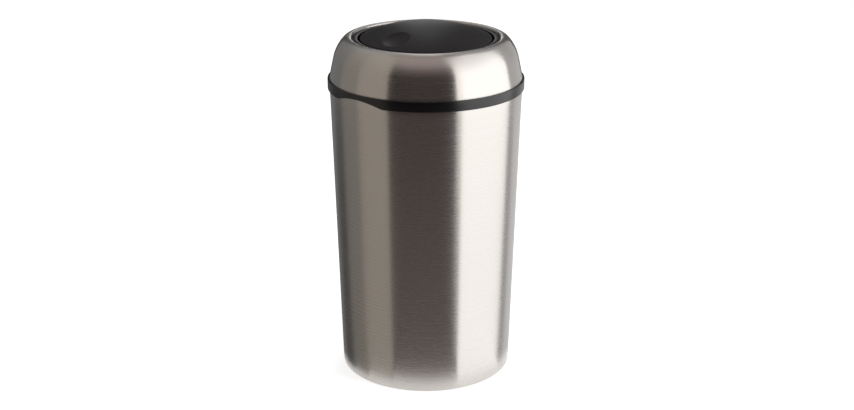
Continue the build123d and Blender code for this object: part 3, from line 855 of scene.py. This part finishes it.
def mirror_only(piece):
    """Hides a piece from everything but the surfaces that mirror it."""
    piece.visible_camera = False
    piece.visible_diffuse = False
    piece.visible_shadow = False


def card(name, first, last, levels, tint=no_tint, start=0.036, turn_up=0.5, near=None):
    """Card out over the floor, up and back overhead, mirrored between two points of the side."""
    mesh = bmesh.new()
    path = (
        (start, card_floor_gap),
        (card_reach, card_floor_gap),
        (card_reach, card_wall_top),
        (card_roof_reach, card_roof_top),
    )
    steps = max(2, int(abs(last - first) / card_strip))
    rows = []
    for step in range(steps + 1):
        off = first + (last - first) * step / steps
        from_turn = math.radians(camera_turn + off)
        to_turn = math.radians(camera_turn + 2 * off)
        row = []
        for reach, height in path:
            x = card_foot_radius * math.sin(from_turn) + reach * math.sin(to_turn)
            y = -card_foot_radius * math.cos(from_turn) - reach * math.cos(to_turn)
            row.append(mesh.verts.new((x, y, height)))
        rows.append(row)
    for here, there in zip(rows, rows[1:]):
        for spot in range(len(path) - 1):
            mesh.faces.new((here[spot], there[spot], there[spot + 1], here[spot + 1]))
    piece = finish_mesh(name, mesh, card_light(name + "_glow", *levels, tint, turn_up, near))
    mirror_only(piece)


# Each card: its edges as directions on the can's side, in degrees off the camera; its
# levels on the floor, low and high on the wall, and overhead; its tint, as red and blue
# against green; where it starts, where the high level is met, and its level at the can.
card("left_end_card", -90, -80, (0.24, 0.09, 0.07, 0.46), start=0.006)
card("left_edge_card", -80, -72, (0.19, 0.20, 0.24, 0.46), start=0.006)
card("left_line_card", -72, -60, (0.08, 0.20, 0.26, 0.44), start=0.008)
card("left_grey_card", -60, -44, (0.22, 0.27, 0.30, 0.44), (1.06, 0.92), start=0.014)
card("left_warm_card", -44, -23.0, (0.35, 0.38, 0.38, 0.48), (1.09, 0.90), start=0.024)
card("dark_card", -23.0, 18.0, (0.068, 0.02, 0.04, 0.50), (1.19, 0.98), turn_up=0.78, near=0.142)
card("turning_card", 18.0, 21.8, (0.20, 1.5, 1.7, 1.0), (1.02, 0.97))
card("bright_card", 21.8, 58, (1.5, 1.8, 1.9, 1.1))
card("right_line_card", 58, 66, (0.36, 0.6, 0.55, 0.45))
card("right_edge_card", 66, 80, (0.75, 0.65, 0.45, 0.38))
card("right_end_card", 80, 90, (0.85, 0.12, 0.08, 0.30))

roof_radius = card_roof_reach + 0.2
roof_height = card_roof_top + 0.01
roof_level = 0.36
roof_tint = (1.12, 0.94)
roof_glow = card_light("roof_glow", roof_level, roof_level, roof_level, roof_level, roof_tint)
roof_mesh = bmesh.new()
bmesh.ops.create_circle(roof_mesh, cap_ends=True, radius=roof_radius, segments=48)
bmesh.ops.translate(roof_mesh, verts=roof_mesh.verts, vec=(0, 0, roof_height))
roof_card = finish_mesh("roof_card", roof_mesh, roof_glow)
mirror_only(roof_card)


def seen_rays(tree):
    """Mask that is 1 for what the camera sees, straight, mirrored or through a clear piece."""
    rays = add(tree, "ShaderNodeLightPath")
    seen = rays.outputs["Is Camera Ray"]
    for kind in ("Is Glossy Ray", "Is Transmission Ray"):
        either = add(tree, "ShaderNodeMath", operation="MAXIMUM")
        tree.links.new(seen, either.inputs[0])
        tree.links.new(rays.outputs[kind], either.inputs[1])
        seen = either.outputs[0]
    return seen


def studio_white(name, strength):
    """White that the camera and reflections see, over a plain surface that takes the shadow."""
    material = bpy.data.materials.new(name)
    material.use_nodes = True
    tree = material.node_tree
    tree.nodes.clear()
    link = tree.links.new
    paper = add(tree, "ShaderNodeBsdfDiffuse")
    paper.inputs["Color"].default_value = (0.9, 0.9, 0.9, 1.0)
    glow = add(tree, "ShaderNodeEmission")
    both = add(tree, "ShaderNodeAddShader")
    out = add(tree, "ShaderNodeOutputMaterial")
    level = add(tree, "ShaderNodeMath", operation="MULTIPLY")
    level.inputs[1].default_value = strength
    link(seen_rays(tree), level.inputs[0])
    link(level.outputs[0], glow.inputs["Strength"])
    link(paper.outputs[0], both.inputs[0])
    link(glow.outputs[0], both.inputs[1])
    link(both.outputs[0], out.inputs[0])
    return material


floor_radius = 6.0
floor_white = studio_white("floor_white", strength=0.56)
floor_mesh = bmesh.new()
bmesh.ops.create_circle(floor_mesh, cap_ends=True, radius=floor_radius, segments=96)
floor = finish_mesh("floor", floor_mesh, floor_white)

world = bpy.data.worlds.new("studio")
bpy.context.scene.world = world
world.use_nodes = True
sky = world.node_tree
sky.nodes.clear()
sky_out = add(sky, "ShaderNodeOutputWorld")
sky_glow = add(sky, "ShaderNodeBackground")
sky_glow.inputs["Color"].default_value = (1.0, 1.0, 1.0, 1.0)
sky_level = add(sky, "ShaderNodeMapRange")
sky_level.inputs["To Min"].default_value = 0.45
sky_level.inputs["To Max"].default_value = 1.0
sky.links.new(seen_rays(sky), sky_level.inputs["Value"])
sky.links.new(sky_level.outputs[0], sky_glow.inputs["Strength"])
sky.links.new(sky_glow.outputs[0], sky_out.inputs[0])

# Each lamp: its direction in degrees, its distance, its height and its power.
lamp_width = 1.0
lamp_target = Vector((0, 0, 0.3))
lamps = (
    ("key_lamp", 100.0, 2.2, 1.6, 22.0),
    ("fill_lamp", -30.0, 2.4, 1.4, 10.0),
    ("back_lamp", 215.0, 2.2, 1.8, 12.0),
)
for name, direction, reach, height, power in lamps:
    lamp = bpy.data.lights.new(name, "AREA")
    lamp.shape = "DISK"
    lamp.size = lamp_width
    lamp.energy = power
    holder = bpy.data.objects.new(name, lamp)
    turn = math.radians(direction)
    holder.location = (reach * math.sin(turn), -reach * math.cos(turn), height)
    shine = lamp_target - holder.location
    holder.rotation_euler = shine.to_track_quat("-Z", "Y").to_euler()
    holder.visible_camera = False
    holder.visible_glossy = False
    bpy.context.scene.collection.objects.link(holder)

# The camera stands higher than the can and looks down at it by twenty degrees, so
# that the flap and its dimple show.
camera_reach = 2.231
camera_height = 1.095
camera_pitch = 20.0
camera_sensor = 36.0
camera_lens = 57.68
camera_shift = 0.0012
camera = bpy.data.objects.new("camera", bpy.data.cameras.new("camera"))
camera.data.sensor_width = camera_sensor
camera.data.lens = camera_lens
camera.data.shift_x = camera_shift
camera.data.shift_y = camera_shift
aim = math.radians(camera_turn)
camera.location = (camera_reach * math.sin(aim), -camera_reach * math.cos(aim), camera_height)
camera.rotation_euler = (math.radians(90 - camera_pitch), 0, aim)
bpy.context.scene.collection.objects.link(camera)
bpy.context.scene.camera = camera
bpy.context.scene.view_settings.view_transform = "Standard"
